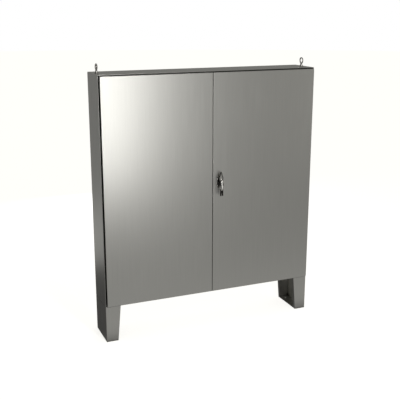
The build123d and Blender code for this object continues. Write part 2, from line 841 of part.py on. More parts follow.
def rod_guides():
    """Slotted brackets that keep the rods upright against the door."""
    solids = []
    shift = cam_pin_circle - pin_offset
    half = rod_radius + guide_slot_clearance
    for sign in (1, -1):
        rest_x = handle_x - sign * pin_offset
        far_x = rest_x - sign * shift
        low, high = sorted((rest_x, far_x))
        plate_x = (low - half - guide_margin, high + half + guide_margin)
        y_back = rod_y + half + guide_margin
        for reach in (guide_near, guide_far):
            z = latch_z + sign * reach
            plate = block(plate_x, (door_inner, y_back), (z, z + guide_sheet))
            slot = block((low, high), (rod_y - half, rod_y + half), (z - 1, z + guide_sheet + 1))
            for x in (low, high):
                slot += round_z(half, x, rod_y, (z - 1, z + guide_sheet + 1))
            foot = block(plate_x, (door_inner, door_inner + guide_sheet), (z, z + guide_foot))
            solids.append(plate - slot + foot)
    return solids


def latch_keepers():
    """Wear plates behind the collar that the rollers run onto."""
    solids = []
    y_span = (collar_back, collar_back + keeper_thickness)
    for sign, edge in ((1, top - collar_width), (-1, base + collar_width)):
        rod_x = handle_x - sign * pin_offset
        x_mid = rod_x + rod_radius + roller_side_gap + roller_width / 2
        x_span = (x_mid - keeper_width / 2, x_mid + keeper_width / 2)
        solids.append(block(x_span, y_span, (edge, edge + sign * keeper_height)))
    return solids


# ---------------------------------------------------------------- slide bolts on the left door
def slide_bolt(sign, edge):
    """Round bolt with a thumb pin; edge is the collar lip that it slides past."""
    tip = edge - sign * rod_end_clearance
    tail = tip - sign * slide_bolt_length
    bolt = round_z(slide_bolt_radius, slide_bolt_x, slide_bolt_y, (tail, tip))
    bolt = fillet(bolt.edges().filter_by(GeomType.CIRCLE), 1.0)
    knob_z = tip - sign * (slide_lug_start - collar_width - rod_end_clearance + slide_lug + slide_knob_down)
    knob = round_y(slide_knob_radius, slide_bolt_x, (slide_bolt_y, slide_bolt_y + slide_knob_reach), knob_z)
    grip_start = slide_bolt_y + slide_knob_reach
    grip_span = (grip_start, grip_start + slide_knob_length)
    grip = round_y(2 * slide_knob_radius, slide_bolt_x, grip_span, knob_z)
    return bolt + knob + fillet(grip.edges().filter_by(GeomType.CIRCLE), 1.5)


def slide_bolt_guides():
    solids = []
    for sign, outer in ((1, top), (-1, base)):
        start = outer - sign * slide_lug_start
        end = start - sign * (2 * slide_lug + slide_lug_gap)
        half = slide_lug_width / 2
        x_span = (slide_bolt_x - half, slide_bolt_x + half)
        y_far = slide_bolt_y + slide_bolt_radius + 3.0
        guide = block(x_span, (door_inner, door_inner + slide_base), (start, end))
        for z in (start, end + sign * slide_lug):
            guide += block(x_span, (door_inner, y_far), (z, z - sign * slide_lug))
        hole = slide_bolt_radius + slide_bolt_clearance
        solids.append(guide - round_z(hole, slide_bolt_x, slide_bolt_y, (start + sign, end - sign)))
    return solids


def document_pocket():
    """Open-topped sheet pocket on the inside of the left door."""
    x_low = -door_side + pocket_side_gap
    z_low = base + pocket_centre_height - pocket_height / 2
    t = pocket_sheet
    x_high, z_high = x_low + pocket_width, z_low + pocket_height
    y_front = door_inner + pocket_depth
    outer = block((x_low, x_high), (door_inner, y_front), (z_low, z_high))
    inner = block((x_low + t, x_high - t), (door_inner + t, y_front - t), (z_low + t, z_high + 1))
    return outer - inner


# ---------------------------------------------------------------- write every node
left_panel, roof, floor, rear = body_panels()
eye_hole = eye_shank_radius + eye_shank_hole_clearance
roof = drill_z(roof, eye_places(), eye_hole, (top - body_sheet - 1, top + 1))
bolt_hole = stand_bolt_radius + stand_bolt_hole_clearance
floor = drill_z(floor, stand_bolt_places(), bolt_hole, (base - 1, base + body_sheet + 1))
save("left_side_panel", left_panel)
save("right_side_panel", mirrored(left_panel))
save("top_panel", roof)
save("bottom_panel", floor)
save("back_panel", rear)

left_rail, upper_rail, lower_rail = collar_rails()
save("left_collar_rail", left_rail)
save("right_collar_rail", mirrored(left_rail))
save("top_collar_rail", upper_rail)
save("bottom_collar_rail", lower_rail)
save("centre_post", centre_post())
group("centre_post_screws", post_screws())

stand = floor_stand()
save("left_floor_stand", stand)
save("right_floor_stand", mirrored(stand))
group("stand_bolts", stand_bolts())

for name, (x, y) in zip(("left_lifting_eye", "right_lifting_eye"), eye_places()):
    save(name, lifting_eye(x))
group("lifting_eye_nuts", lifting_eye_nuts())

for name, piece in (("hinge_body_leaf", hinge_body_leaf()), ("hinge_door_leaf", hinge_door_leaf()),
                    ("hinge_pin", hinge_pin())):
    save("left_" + name, piece)
    save("right_" + name, mirrored(piece))

save("mounting_panel", mounting_panel())
group("panel_studs", panel_studs())
group("panel_nuts", panel_nuts())
group("ground_studs", ground_studs())
group("latch_keepers", latch_keepers())

seam = seam_gap / 2
left_door = door_pan(-door_side, -seam)
right_door = door_pan(seam, door_side)
right_door -= round_y(spindle_radius + bushing_wall, handle_x, (door_front - 1, door_inner + 1), latch_z)
for x, z in escutcheon_screw_places():
    right_door -= round_y(escutcheon_screw_radius, x, (door_front - 1, door_inner + 1), z)
save("left_door", left_door)
save("right_door", right_door)
save("left_door_gasket", door_gasket(-door_side, -seam))
save("right_door_gasket", door_gasket(seam, door_side))
door_centre = (door_side + seam) / 2
save("left_door_stiffener", door_stiffener(-door_centre))
save("right_door_stiffener", door_stiffener(door_centre))

save("door_handle", door_handle())
save("handle_escutcheon", handle_escutcheon())
group("handle_screws", handle_screws())
save("padlock_staple", padlock_staple())
save("spindle", spindle())
save("spindle_screw", spindle_screw())
save("spindle_bushing", spindle_bushing())
save("latch_bracket", latch_bracket())
save("latch_cam", latch_cam())
group("cam_pins", cam_pins())
for name, upward in (("upper", True), ("lower", False)):
    rod, roller = latch_rod(upward)
    save(f"{name}_latch_rod", rod)
    save(f"{name}_rod_roller", roller)
group("rod_guides", rod_guides())

save("upper_slide_bolt", slide_bolt(1, top - collar_width))
save("lower_slide_bolt", slide_bolt(-1, base + collar_width))
group("slide_bolt_guides", slide_bolt_guides())
save("document_pocket", document_pocket())
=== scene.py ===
import bpy
import json
import math
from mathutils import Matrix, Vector


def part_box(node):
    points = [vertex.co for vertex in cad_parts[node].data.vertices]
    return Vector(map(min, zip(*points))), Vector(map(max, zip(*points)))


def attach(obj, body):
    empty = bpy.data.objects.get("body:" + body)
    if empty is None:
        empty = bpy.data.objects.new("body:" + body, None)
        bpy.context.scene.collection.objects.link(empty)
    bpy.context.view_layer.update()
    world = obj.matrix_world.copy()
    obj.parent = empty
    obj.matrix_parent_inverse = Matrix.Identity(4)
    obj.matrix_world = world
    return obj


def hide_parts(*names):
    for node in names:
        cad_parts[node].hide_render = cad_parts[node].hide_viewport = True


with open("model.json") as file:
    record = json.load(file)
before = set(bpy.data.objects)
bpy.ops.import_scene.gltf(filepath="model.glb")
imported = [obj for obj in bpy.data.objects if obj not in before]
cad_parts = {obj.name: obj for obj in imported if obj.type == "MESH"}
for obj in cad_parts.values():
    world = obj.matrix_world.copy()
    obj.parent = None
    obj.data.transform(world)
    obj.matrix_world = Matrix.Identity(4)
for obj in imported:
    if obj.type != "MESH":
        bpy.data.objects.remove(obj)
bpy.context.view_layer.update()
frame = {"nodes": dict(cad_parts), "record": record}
nodes = frame["nodes"]
print("frame loaded,", len(nodes), "nodes")


# colours and nodes

def toLinear(hexColor):
    # sRGB hex to the linear colour that the sockets want
    channels = [int(hexColor[i:i + 2], 16) / 255 for i in (1, 3, 5)]
    return [c / 12.92 if c <= 0.04045 else ((c + 0.055) / 1.055) ** 2.4 for c in channels] + [1.0]


def addNode(tree, kind, values=None, links=None, **settings):
    node = tree.nodes.new(kind)
    for name, value in settings.items():
        setattr(node, name, value)
    for socket, value in (values or {}).items():
        node.inputs[socket].default_value = value
    for socket, source in (links or {}).items():
        tree.links.new(source, node.inputs[socket])
    return node


def newMaterial(name, hexColor, metallic, roughness):
    material = bpy.data.materials.new(name)
    material.use_nodes = True
    shader = material.node_tree.nodes["Principled BSDF"]
    shader.inputs["Base Color"].default_value = toLinear(hexColor)
    shader.inputs["Metallic"].default_value = metallic
    shader.inputs["Roughness"].default_value = roughness
    material.diffuse_color = toLinear(hexColor)
    return material, material.node_tree, shader


def stretchedNoise(tree, sizeMm, detail=3.0, roughness=0.55):
    # noise whose cells measure sizeMm along X, Y and Z
    place = addNode(tree, "ShaderNodeTexCoord")
    scale = [1000.0 / size for size in sizeMm]
    mapping = addNode(tree, "ShaderNodeMapping", {"Scale": scale}, {"Vector": place.outputs["Object"]})
    return addNode(tree, "ShaderNodeTexNoise", {"Scale": 1.0, "Detail": detail, "Roughness": roughness},
                   {"Vector": mapping.outputs["Vector"]})


def spread(tree, source, low, high, fromLow=0.3, fromHigh=0.7):
    # brings a noise value to the range low to high
    node = addNode(tree, "ShaderNodeMapRange", {"From Min": fromLow, "From Max": fromHigh, "To Min": low,
                                                "To Max": high}, {"Value": source})
    return node.outputs["Result"]


def paintedCornerShade(tree, reachMm, depth):
    # painted shade: 1 on open faces, falling by depth in gaps and corners, where shade falls
    nearby = addNode(tree, "ShaderNodeAmbientOcclusion", {"Distance": reachMm / 1000.0}, samples=8)
    return spread(tree, nearby.outputs["AO"], 1.0 - depth, 1.0, fromLow=0.15, fromHigh=0.75)


def tinted(tree, shader, hexColor, source, strength, cornerMm=0.0, paintedShadeDepth=0.0):
    # colour that varies in lightness by strength either way, with shade painted darker into the corners
    factor = spread(tree, source, 1.0 - strength, 1.0 + strength)
    if cornerMm:
        shade = paintedCornerShade(tree, cornerMm, paintedShadeDepth)
        both = addNode(tree, "ShaderNodeMath", operation="MULTIPLY", links={0: factor, 1: shade})
        factor = both.outputs[0]
    colour = addNode(tree, "ShaderNodeMix", {"Factor": 1.0}, data_type="RGBA", blend_type="MULTIPLY")
    colour.inputs["A"].default_value = toLinear(hexColor)
    tree.links.new(factor, colour.inputs["B"])
    tree.links.new(colour.outputs["Result"], shader.inputs["Base Color"])


def bumped(tree, shader, source, heightMm, under=None):
    # raises the pattern by heightMm, on top of a coarser bump where one is given
    bump = addNode(tree, "ShaderNodeBump", {"Strength": 1.0, "Distance": heightMm / 1000.0},
                   {"Height": source})
    if under is not None:
        tree.links.new(under.outputs["Normal"], bump.inputs["Normal"])
    tree.links.new(bump.outputs["Normal"], shader.inputs["Normal"])
    return bump


# brushed 304 stainless sheet: long fine grit lines, soft stretched highlights, a slight wave in the big
# flats, and shade painted into its corners
brushedSheet = {
    "color": "#c6c5c0", "roughness": 0.36, "roughnessSwing": 0.035, "anisotropy": 0.1,
    "cornerMm": 30.0, "paintedShadeDepth": 0.85,
    "lineMm": 5.0,          # real grit lines are 0.1 mm apart, drawn this coarse so that they show
    "lineLengthMm": 420.0, "lineContrast": 0.035,
    "fineLineMm": 1.2, "fineHeightMm": 0.004,
    "waveMm": 430.0, "waveHeightMm": 0.10,
}


def brushedStainless(name, grain):
    v = brushedSheet
    material, tree, shader = newMaterial(name, v["color"], 1.0, v["roughness"])
    shader.inputs["Anisotropic"].default_value = v["anisotropy"]

    def along(width, length):
        return (width, width, length) if grain == "upright" else (length, width, width)

    lines = stretchedNoise(tree, along(v["lineMm"], v["lineLengthMm"]), detail=4.0, roughness=0.7)
    tinted(tree, shader, v["color"], lines.outputs["Fac"], v["lineContrast"], v["cornerMm"], v["paintedShadeDepth"])
    low, high = v["roughness"] - v["roughnessSwing"], v["roughness"] + v["roughnessSwing"]
    tree.links.new(spread(tree, lines.outputs["Fac"], low, high), shader.inputs["Roughness"])
    fine = stretchedNoise(tree, along(v["fineLineMm"], v["lineLengthMm"] / 2), detail=2.0)
    wave = stretchedNoise(tree, (v["waveMm"],) * 3, detail=1.0)
    swell = bumped(tree, shader, wave.outputs["Fac"], v["waveHeightMm"])
    bumped(tree, shader, fine.outputs["Fac"], v["fineHeightMm"], under=swell)
    axis = "Z" if grain == "upright" else "X"
    tangent = addNode(tree, "ShaderNodeTangent", direction_type="RADIAL", axis=axis)
    tree.links.new(tangent.outputs["Tangent"], shader.inputs["Tangent"])
    return material


# cold rolled sheet left as milled: even, a little cloudy, no grain
milledSheet = {"color": "#a5a4a0", "roughness": 0.38, "cloudMm": 60.0, "contrast": 0.07,
               "roughnessSwing": 0.06,
               "cornerMm": 50.0, "paintedShadeDepth": 0.9}   # painted shade, reaching right across the trough beside the doors and turning it nearly black


def mottledMetal(name, v):
    material, tree, shader = newMaterial(name, v["color"], 1.0, v["roughness"])
    cloud = stretchedNoise(tree, (v["cloudMm"],) * 3, detail=5.0)
    tinted(tree, shader, v["color"], cloud.outputs["Fac"], v["contrast"], v["cornerMm"], v["paintedShadeDepth"])
    low, high = v["roughness"] - v["roughnessSwing"], v["roughness"] + v["roughnessSwing"]
    tree.links.new(spread(tree, cloud.outputs["Fac"], low, high), shader.inputs["Roughness"])
    return material, tree, shader


# hinge strip painted dull and nearly black, as painted shade in the gap beside the doors; its corners take
# painted shade too
darkHinge = {"color": "#2c2a28", "roughness": 0.45, "cloudMm": 30.0, "contrast": 0.10,
             "roughnessSwing": 0.05, "cornerMm": 15.0, "paintedShadeDepth": 0.85}

# zinc plate: slightly blue, with small cloudy crystals and painted shade in its corners
zincPlate = {"color": "#b3b7ba", "roughness": 0.34, "cloudMm": 6.0, "contrast": 0.10,
             "roughnessSwing": 0.07, "cornerMm": 8.0, "paintedShadeDepth": 0.6}

# sintered bronze: warm and grainy from the pressed powder, with painted shade in its corners
sinteredBronze = {"color": "#a9814f", "roughness": 0.48, "cloudMm": 1.2, "contrast": 0.16,
                  "roughnessSwing": 0.08, "cornerMm": 5.0, "paintedShadeDepth": 0.5}

# cast stainless polished by hand: bright, with faint wheel marks and painted shade in its corners
polishedCast = {"color": "#cfcdc8", "roughness": 0.13, "roughnessSwing": 0.05, "contrast": 0.03,
                "markMm": 1.4, "markLengthMm": 40.0, "markHeightMm": 0.004,
                "grainMm": 9.0, "grainHeightMm": 0.05, "cornerMm": 6.0, "paintedShadeDepth": 0.85,
                "leverShadeReachMm": 60.0}      # painted shade reaching far enough to darken the lever's back, so that the door mirrors it dark


def polishedStainless(name, cornerMm):
    v = polishedCast
    material, tree, shader = newMaterial(name, v["color"], 1.0, v["roughness"])
    marks = stretchedNoise(tree, (v["markMm"], v["markMm"], v["markLengthMm"]), detail=2.0)
    low, high = v["roughness"] - v["roughnessSwing"], v["roughness"] + v["roughnessSwing"]
    tree.links.new(spread(tree, marks.outputs["Fac"], low, high), shader.inputs["Roughness"])
    soft = stretchedNoise(tree, (v["grainMm"],) * 3, detail=1.0)
    tinted(tree, shader, v["color"], soft.outputs["Fac"], v["contrast"], cornerMm, v["paintedShadeDepth"])
    under = bumped(tree, shader, soft.outputs["Fac"], v["grainHeightMm"])
    bumped(tree, shader, marks.outputs["Fac"], v["markHeightMm"], under=under)
    return material


# poured polyurethane door seal: black, matt, with fine pores
sealFoam = {"color": "#1d1d1e", "roughness": 0.82, "contrast": 0.2, "poreMm": 1.6, "poreHeightMm": 0.15}


def foamSeal():
    v = sealFoam
    material, tree, shader = newMaterial("pouredSeal", v["color"], 0.0, v["roughness"])
    pores = stretchedNoise(tree, (v["poreMm"],) * 3, detail=3.0)
    tinted(tree, shader, v["color"], pores.outputs["Fac"], v["contrast"])
    bumped(tree, shader, pores.outputs["Fac"], v["poreHeightMm"])
    return material


# stoved white enamel on the mounting panel: even, with orange peel
enamel = {"color": "#e4e3dd", "roughness": 0.36, "contrast": 0.012, "peelMm": 2.6, "peelHeightMm": 0.03}


def whiteEnamel():
    v = enamel
    material, tree, shader = newMaterial("whiteEnamel", v["color"], 0.0, v["roughness"])
    peel = stretchedNoise(tree, (v["peelMm"],) * 3, detail=1.0)
    tinted(tree, shader, v["color"], peel.outputs["Fac"], v["contrast"])
    bumped(tree, shader, peel.outputs["Fac"], v["peelHeightMm"])
    return material


# natural nylon: milky, slightly waxy
nylon = {"color": "#dcd8ca", "roughness": 0.42, "contrast": 0.03, "scatter": 0.15, "scatterMm": 2.0,
         "cloudMm": 5.0}


def naturalNylon():
    v = nylon
    material, tree, shader = newMaterial("naturalNylon", v["color"], 0.0, v["roughness"])
    shader.inputs["Subsurface Weight"].default_value = v["scatter"]
    shader.inputs["Subsurface Scale"].default_value = v["scatterMm"] / 1000.0
    cloud = stretchedNoise(tree, (v["cloudMm"],) * 3)
    tinted(tree, shader, v["color"], cloud.outputs["Fac"], v["contrast"])
    return material


# moulded grey ABS with a fine spark-eroded texture
mouldedAbs = {"color": "#6b6d6e", "roughness": 0.55, "contrast": 0.05, "textureMm": 0.9,
              "textureHeightMm": 0.05}


def greyAbs():
    v = mouldedAbs
    material, tree, shader = newMaterial("mouldedAbs", v["color"], 0.0, v["roughness"])
    texture = stretchedNoise(tree, (v["textureMm"],) * 3, detail=2.0)
    tinted(tree, shader, v["color"], texture.outputs["Fac"], v["contrast"])
    bumped(tree, shader, texture.outputs["Fac"], v["textureHeightMm"])
    return material


uprightBrushed = brushedStainless("brushedStainlessUpright", "upright")
levelBrushed = brushedStainless("brushedStainlessLevel", "level")
milled = mottledMetal("milledStainless", milledSheet)[0]
paintedDarkMetal = mottledMetal("paintedDarkHinge", darkHinge)[0]
zinc = mottledMetal("zincPlate", zincPlate)[0]
bronze = mottledMetal("sinteredBronze", sinteredBronze)[0]
polished = polishedStainless("polishedStainless", polishedCast["cornerMm"])
leverPolish = polishedStainless("polishedLever", polishedCast["leverShadeReachMm"])
seal = foamSeal()
enamelled = whiteEnamel()
milkyNylon = naturalNylon()
greyMoulded = greyAbs()

slotMaterials = {
    "brushed_stainless": uprightBrushed, "formed_stainless": milled, "hinge_stainless": paintedDarkMetal,
    "polished_stainless": polished, "zinc_steel": zinc, "seal_rubber": seal, "white_panel_paint": enamelled,
    "bronze": bronze, "roller_nylon": milkyNylon, "pocket_plastic": greyMoulded,
}


def finish(piece, material):
    piece.data.materials.clear()
    piece.data.materials.append(material)


for entry in frame["record"]["subparts"]:
    finish(nodes[entry["node"]], slotMaterials[entry["material_slot"]])
for name in ("top_panel", "bottom_panel"):
    finish(nodes[name], levelBrushed)
print("finishes on the frame")


# modelling

nearMm = 0.1            # a corner counts as lying at a place when it is this near
mergeMm = 0.01
nearlyUpright = 0.9     # share of an edge's direction that points up


def inMetres(values, *names):
    return [values[name] / 1000.0 for name in names]


def selectOnly(*pieces):
    if bpy.context.object and bpy.context.object.mode != "OBJECT":
        bpy.ops.object.mode_set(mode="OBJECT")
    bpy.ops.object.select_all(action="DESELECT")
    for piece in pieces:
        piece.select_set(True)
    if pieces:
        bpy.context.view_layer.objects.active = pieces[0]


def named(name):
    # names the active piece and its mesh
    piece = bpy.context.object
    piece.name = name
    piece.data.name = name
    return piece


def begin(kind, name, **how):
    # adds a primitive and moves its place into its mesh
    selectOnly()
    getattr(bpy.ops.mesh, kind)(**how)
    piece = named(name)
    bpy.ops.object.transform_apply(location=True, rotation=True, scale=True)
    return piece


def block(name, low, high):
    # a cube stretched between two corners
    selectOnly()
    bpy.ops.mesh.primitive_cube_add(size=1.0, location=[(a + b) / 2 for a, b in zip(low, high)])
    piece = named(name)
    piece.scale = [b - a for a, b in zip(low, high)]
    bpy.ops.object.transform_apply(location=True, rotation=True, scale=True)
    return piece


def openAll(piece):
    selectOnly(piece)
    bpy.ops.object.mode_set(mode="EDIT")
    bpy.ops.mesh.select_all(action="SELECT")


def pick(piece, kind, test):
    # opens the piece with only what passes the test selected, by its middle and its normal or direction
    openAll(piece)
    bpy.ops.mesh.select_mode(type=kind)
    bpy.ops.mesh.select_all(action="DESELECT")
    bpy.ops.object.mode_set(mode="OBJECT")
    mesh = piece.data
    if kind == "FACE":
        for face in mesh.polygons:
            face.select = test(face.center, face.normal)
    elif kind == "EDGE":
        for edge in mesh.edges:
            start, end = [mesh.vertices[i].co for i in edge.vertices]
            edge.select = test((start + end) / 2, (end - start).normalized())
    else:
        for vertex in mesh.vertices:
            vertex.select = test(vertex.co, vertex.normal)
    bpy.ops.object.mode_set(mode="EDIT")


def close():
    bpy.ops.object.mode_set(mode="OBJECT")


def applied(piece, kind, **settings):
    selectOnly(piece)
    modifier = piece.modifiers.new(kind, kind)
    for name, value in settings.items():
        setattr(modifier, name, value)
    bpy.ops.object.modifier_apply(modifier=modifier.name)


def cutAway(piece, cutter):
    applied(piece, "BOOLEAN", operation="DIFFERENCE", object=cutter, solver="EXACT")
    bpy.data.objects.remove(cutter)


def joined(name, *pieces):
    selectOnly(*pieces)
    bpy.ops.object.join()
    return named(name)


def softEdges(piece, width, steps, degrees):
    # rounds the edges that are sharper than this
    applied(piece, "BEVEL", width=width, segments=steps, limit_method="ANGLE",
            angle_limit=math.radians(degrees))


def castTogether(piece, gritMm, rounds):
    # melts joined solids into one skin and softens its edges, as casting and polishing do
    applied(piece, "REMESH", mode="VOXEL", voxel_size=gritMm / 1000.0)
    applied(piece, "SMOOTH", factor=0.5, iterations=rounds)


def cleaned(piece):
    # merges doubles and turns every face outwards
    openAll(piece)
    bpy.ops.mesh.remove_doubles(threshold=mergeMm / 1000)
    bpy.ops.mesh.normals_make_consistent(inside=False)
    close()


def smoothed(piece, degrees=35.0):
    selectOnly(piece)
    bpy.ops.object.shade_smooth_by_angle(angle=math.radians(degrees))


def copied(piece, name, shift):
    twin = bpy.data.objects.new(name, piece.data.copy())
    twin.data.name = name
    bpy.context.scene.collection.objects.link(twin)
    twin.location = shift
    selectOnly(twin)
    bpy.ops.object.transform_apply(location=True, rotation=False, scale=False)
    return twin


def middleOf(name):
    low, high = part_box(name)
    return (low + high) / 2


def standsFor(piece, material, body, slot, *replaced):
    finish(piece, material)
    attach(piece, body)
    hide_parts(*replaced)


# door handle: polished lever on a cast body painted dark as painted shade and painted dark reflection, which
# is the hub, the forked tail and the padlock ear
handle = {
    "gritMm": 0.8, "smoothRounds": 4, "edgeSteps": 3, "edgeDegrees": 50.0,
    # lever sections: millimetres below the spindle, half width, how far the face lies behind the front
    "leverRings": [(-42, 12.0, 2.5), (-24, 13.0, 0.8), (-2, 13.5, 0.0), (20, 13.4, 0.3), (38, 13.0, 1.2),
                   (52, 12.6, 3.0)],
    "leverThickMm": 13.0, "leverArchMm": 11.0, "archSteps": 7, "leverEdgeMm": 1.6,
    "shoulderMiddleMm": 27.0, "shoulderDropMm": 26.0,     # the slanted top end of the lever
    "forkTopMm": 40.0, "forkEndMm": 96.0, "forkHalfMm": 12.6, "forkEndHalfMm": 12.2, "forkThickMm": 10.0,
    "forkBehindMm": 3.6, "forkEdgeMm": 3.0, "gapTopMm": 50.0, "gapHalfMm": 4.2, "gapTopShare": 0.12,
    "hubMm": 18.0, "hubFrontShare": 0.8, "flangeMm": 18.8, "flangeThickMm": 3.5,
    "earThickMm": 5.0, "earBehindMm": 19.0, "earHalfMm": 19.8, "earShoulderMm": 48.0, "earRootHalfMm": 15.0,
    "earTipHalfMm": 3.0, "earRimMm": 6.0, "earHollowMm": 1.6, "inlayMm": 0.7,
    "padlockHoleMm": 5.25, "padlockUpMm": 82.0, "punchLongMm": 50.0,
    "rivetMm": 4.2, "rivetUpMm": 30.0, "rivetHighMm": 2.2,
}


def makeLever(x, z, front):
    # starts 1 mm wide either way, so that each section's half width is its scale
    v = handle
    rings = v["leverRings"]
    bottom, top = z - rings[-1][0] / 1000, z - rings[0][0] / 1000
    arch, edge, middle, drop, thick = inMetres(v, "leverArchMm", "leverEdgeMm", "shoulderMiddleMm",
                                               "shoulderDropMm", "leverThickMm")
    lever = block("polishedLever", (x - 0.001, front, bottom), (x + 0.001, front + thick, top))
    for down, half, behind in rings[1:-1]:
        openAll(lever)
        bpy.ops.mesh.bisect(plane_co=(x, front, z - down / 1000), plane_no=(0, 0, 1))
        close()
    for down, half, behind in rings:
        height = z - down / 1000
        pick(lever, "VERT", lambda spot, normal: abs(spot.z - height) < nearMm / 1000)
        bpy.ops.transform.resize(value=(half, 1, 1), center_override=(x, front, height))
        bpy.ops.transform.translate(value=(0, behind / 1000, 0))
        close()
    pick(lever, "EDGE", lambda spot, along: abs(along.z) > nearlyUpright and spot.y < front + thick / 2)
    bpy.ops.mesh.bevel(offset=arch, segments=v["archSteps"])
    close()
    openAll(lever)
    width = 2 * rings[1][1] / 1000
    bpy.ops.mesh.bisect(plane_co=(x, front, z + middle), plane_no=(-drop, 0, width), use_fill=True,
                        clear_outer=True)
    close()
    softEdges(lever, edge, v["edgeSteps"], v["edgeDegrees"])
    castTogether(lever, v["gritMm"], v["smoothRounds"])
    return lever


def makeFork(x, z, front):
    v = handle
    top, end, half, endHalf, thick = inMetres(v, "forkTopMm", "forkEndMm", "forkHalfMm", "forkEndHalfMm",
                                              "forkThickMm")
    behind, edge, gapTop, gapHalf = inMetres(v, "forkBehindMm", "forkEdgeMm", "gapTopMm", "gapHalfMm")
    fork = block("fork", (x - half, front + behind, z - end), (x + half, front + behind + thick, z - top))
    pick(fork, "VERT", lambda spot, normal: spot.z < z - top - nearMm / 1000)
    bpy.ops.transform.resize(value=(endHalf / half, 1, 1), center_override=(x, front, z))
    close()
    gap = block("gap", (x - gapHalf, front, z - end - edge),
                (x + gapHalf, front + behind + 2 * thick, z - gapTop))
    pick(gap, "VERT", lambda spot, normal: spot.z > z - end)
    bpy.ops.transform.resize(value=(v["gapTopShare"], 1, 1), center_override=(x, front, z))
    close()
    cutAway(fork, gap)
    softEdges(fork, edge, v["edgeSteps"], v["edgeDegrees"])
    return fork


def arrowPlate(name, x, z, yLow, yHigh, shrink):
    # flat plate shaped as a blunt arrowhead, with its edges moved in by shrink
    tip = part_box("door_handle")[1].z
    half, shoulder, rootHalf, tipHalf = inMetres(handle, "earHalfMm", "earShoulderMm", "earRootHalfMm",
                                                 "earTipHalfMm")
    plate = block(name, (x - half, yLow, z), (x + half, yHigh, tip - shrink))
    for side in (-1, 1):
        corner = Vector((x + side * half, yLow, z + shoulder))
        toTip = Vector((x + side * tipHalf, yLow, tip)) - corner
        toRoot = Vector((x + side * rootHalf, yLow, z)) - corner
        for along in (toTip, toRoot):
            outward = Vector((along.z, 0.0, -along.x)).normalized()
            if outward.x * side < 0:
                outward.negate()
            openAll(plate)
            bpy.ops.mesh.bisect(plane_co=corner - outward * shrink, plane_no=outward, use_fill=True,
                                clear_outer=True)
            close()
    return plate


def makeEar(x, z, front):
    # the padlock ear with its sunk face, and the bright inlay that lies in it
    thick, behind, rim, hollow, inlayThick = inMetres(handle, "earThickMm", "earBehindMm", "earRimMm",
                                                      "earHollowMm", "inlayMm")
    hole, holeUp, punchLong = inMetres(handle, "padlockHoleMm", "padlockUpMm", "punchLongMm")
    face = front + behind
    ear = arrowPlate("ear", x, z, face, face + thick, 0.0)
    cutAway(ear, arrowPlate("recess", x, z, face - thick, face + hollow, rim))
    inlay = arrowPlate("earInlay", x, z, face + hollow - inlayThick, face + hollow + inlayThick, rim)
    for plate in (ear, inlay):
        punch = begin("primitive_cylinder_add", "punch", vertices=48, radius=hole, depth=punchLong,
                      rotation=(math.pi / 2, 0, 0), location=(x, face, z + holeUp))
        cutAway(plate, punch)
    return ear, inlay


def makeRivet(x, y, z):
    # domed head, pressed flat on top
    radius, high = inMetres(handle, "rivetMm", "rivetHighMm")
    rivet = begin("primitive_uv_sphere_add", "rivet", segments=32, ring_count=16, radius=radius,
                  location=(x, y, z))
    openAll(rivet)
    bpy.ops.transform.resize(value=(1, high / radius, 1), center_override=(x, y, z))
    close()
    return rivet


def makeHandle():
    v = handle
    low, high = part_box("door_handle")
    x, z = (low.x + high.x) / 2, middleOf("spindle").z
    front, back = low.y, high.y
    hub, flange, flangeThick, leverThick, earBehind, rivetUp = inMetres(
        v, "hubMm", "flangeMm", "flangeThickMm", "leverThickMm", "earBehindMm", "rivetUpMm")
    reach = back - front - leverThick / 2
    level = {"vertices": 64, "rotation": (math.pi / 2, 0, 0)}
    ear, inlay = makeEar(x, z, front)
    hubPart = begin("primitive_cone_add", "hub", radius1=hub * v["hubFrontShare"], radius2=hub, depth=reach,
                    location=(x, back - reach / 2, z), **level)
    flangePart = begin("primitive_cylinder_add", "flange", radius=flange, depth=flangeThick,
                       location=(x, back - flangeThick / 2, z), **level)
    body = joined("handleBody", ear, hubPart, flangePart, makeFork(x, z, front))
    castTogether(body, v["gritMm"], v["smoothRounds"])
    bright = joined("polishedLever", makeLever(x, z, front), inlay,
                    makeRivet(x, front + earBehind, z + rivetUp))
    # the cast body takes the dark hinge metal, a painted shade and painted dark reflection
    for piece, material, slot in ((body, paintedDarkMetal, "hinge_stainless"),
                                  (bright, leverPolish, "polished_stainless")):
        cleaned(piece)
        smoothed(piece, 50.0)
        standsFor(piece, material, "handle", slot, "door_handle")
    return bright


# lifting eye: drop-forged ring on a collar, with a thread below it drawn as separate ridges
liftingEye = {
    "ringMm": 21.5, "wireMm": 5.5, "neckMm": 7.5, "neckFootMm": 11.0, "collarMm": 14.0, "collarHighMm": 8.0,
    "gritMm": 0.7, "smoothRounds": 4, "crestMm": 8.0, "rootMm": 7.1, "pitchMm": 2.0, "threadLongMm": 30.0,
}


def makeThread(x, y, top):
    # one ridge, repeated down the shank
    root, crest, pitch, length = inMetres(liftingEye, "rootMm", "crestMm", "pitchMm", "threadLongMm")
    ridge = begin("primitive_cylinder_add", "ridge", vertices=40, radius=root, depth=pitch,
                  end_fill_type="NOTHING", location=(x, y, top - pitch / 2))
    openAll(ridge)
    bpy.ops.mesh.bisect(plane_co=(x, y, top - pitch / 2), plane_no=(0, 0, 1))
    close()
    pick(ridge, "VERT", lambda spot, normal: abs(spot.z - top + pitch / 2) < nearMm / 1000)
    bpy.ops.transform.resize(value=(crest / root, crest / root, 1), center_override=(x, y, top))
    close()
    applied(ridge, "ARRAY", count=round(length / pitch), use_relative_offset=False, use_constant_offset=True,
            constant_offset_displace=(0, 0, -pitch), use_merge_vertices=True)
    for end in (top, top - length):
        pick(ridge, "EDGE", lambda spot, along: abs(spot.z - end) < nearMm / 1000)
        bpy.ops.mesh.edge_face_add()
        close()
    return ridge


